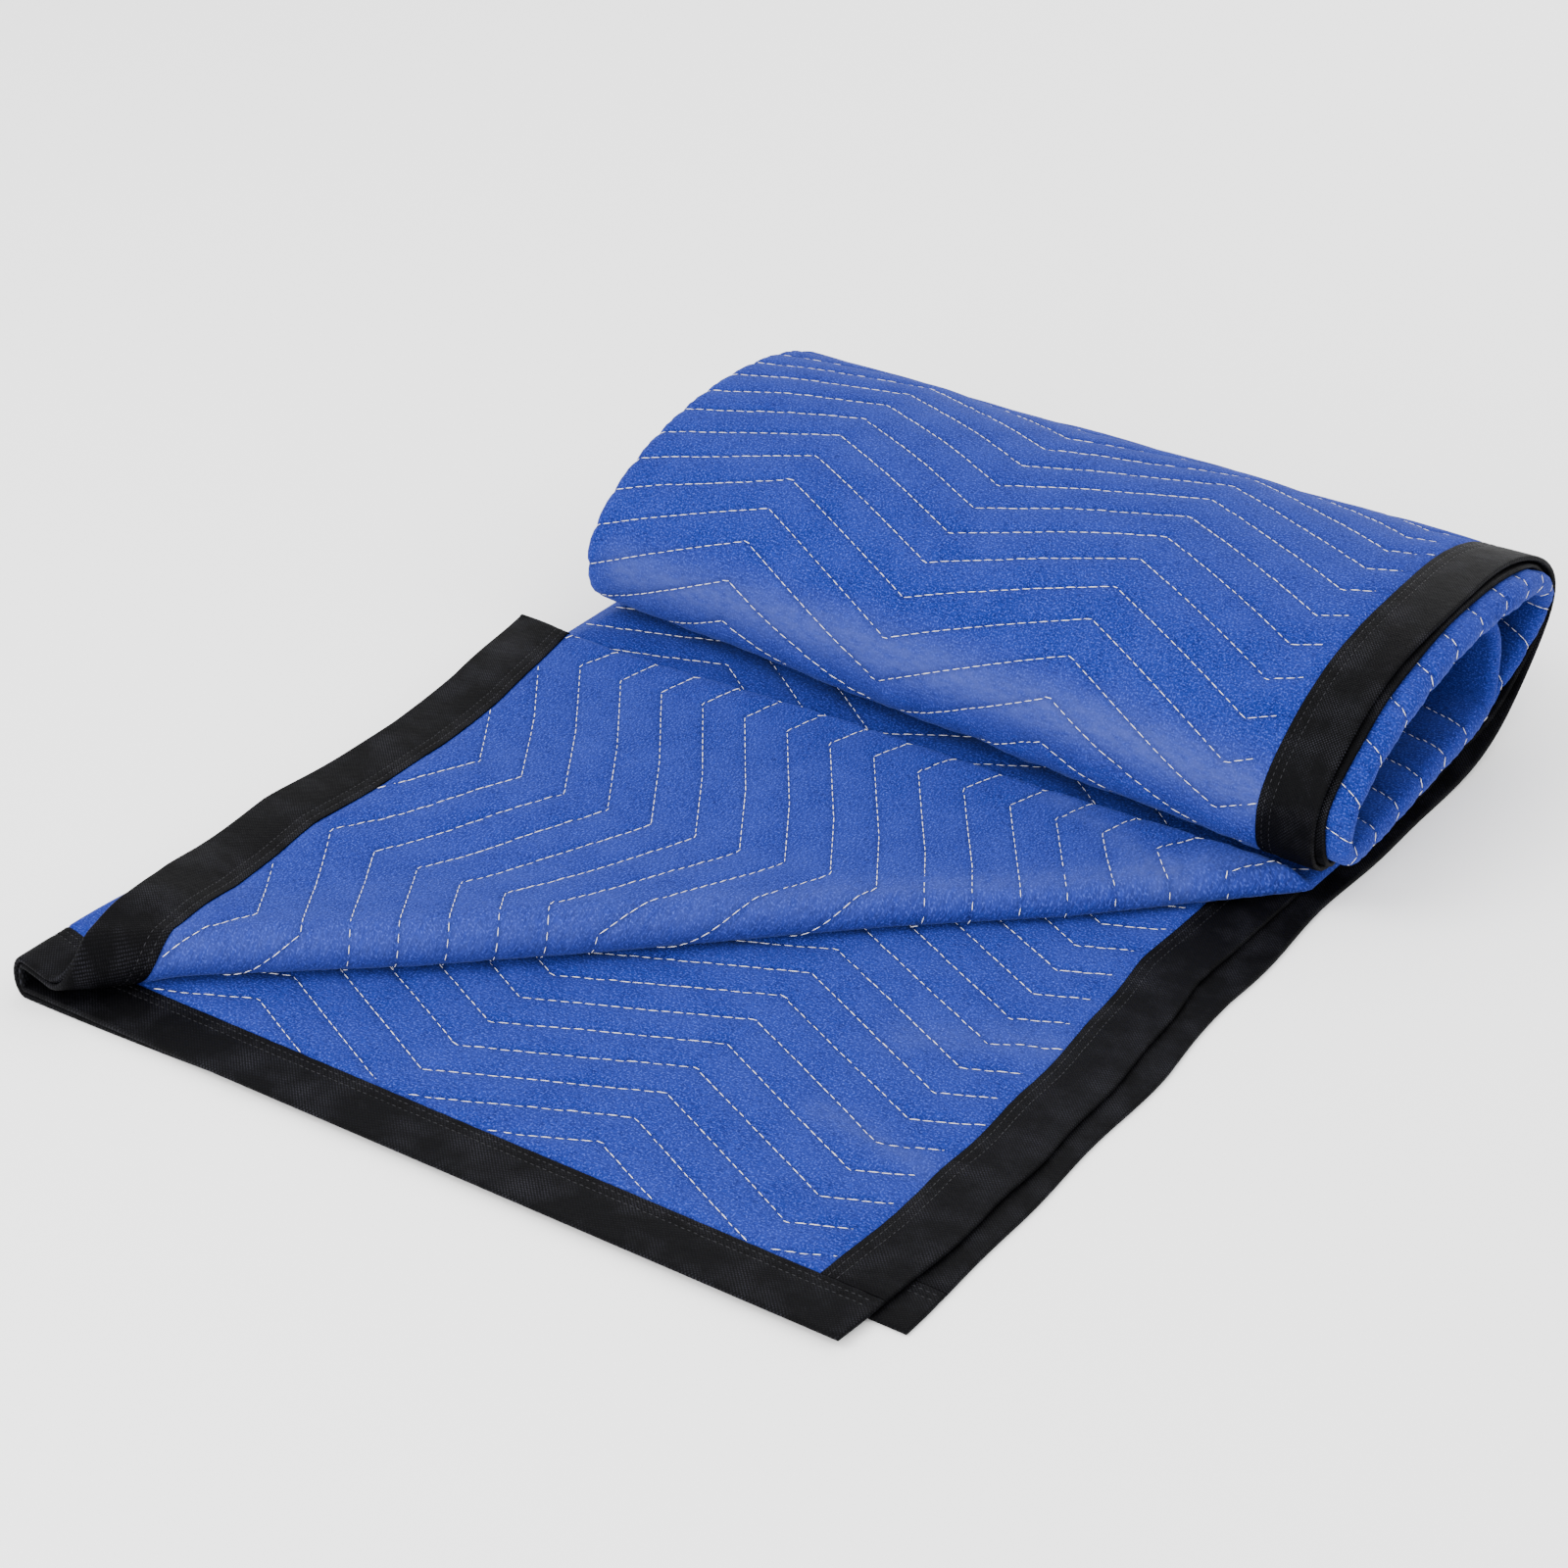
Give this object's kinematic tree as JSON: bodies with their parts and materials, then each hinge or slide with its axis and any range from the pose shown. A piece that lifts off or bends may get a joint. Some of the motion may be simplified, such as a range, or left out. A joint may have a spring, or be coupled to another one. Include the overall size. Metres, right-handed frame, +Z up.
{
  "type": "moving blanket",
  "caption": "Quilted blue moving blanket with black edge tape, folded lengthways and part rolled, one corner of its free end turned back.",
  "frame": {"origin": "under the middle of the bounding box, on the floor", "axes": "+X across the folded strip towards its bound edges, +Y from the free end to the roll, +Z up"},
  "size_m": [0.5498, 0.7418, 0.1268],
  "materials": {
    "quilted_cloth": "matt heathered blue non-woven cloth, quilted in zigzag rows",
    "edge_tape": "black woven-look tape with a fine embossed grain"
  },
  "bodies": {
    "root": {"quilted_panel": "quilted_cloth", "end_tape_front": "edge_tape", "end_tape_inner": "edge_tape", "side_tape_lower": "edge_tape", "side_tape_upper": "edge_tape"}
  },
  "joints": []
}
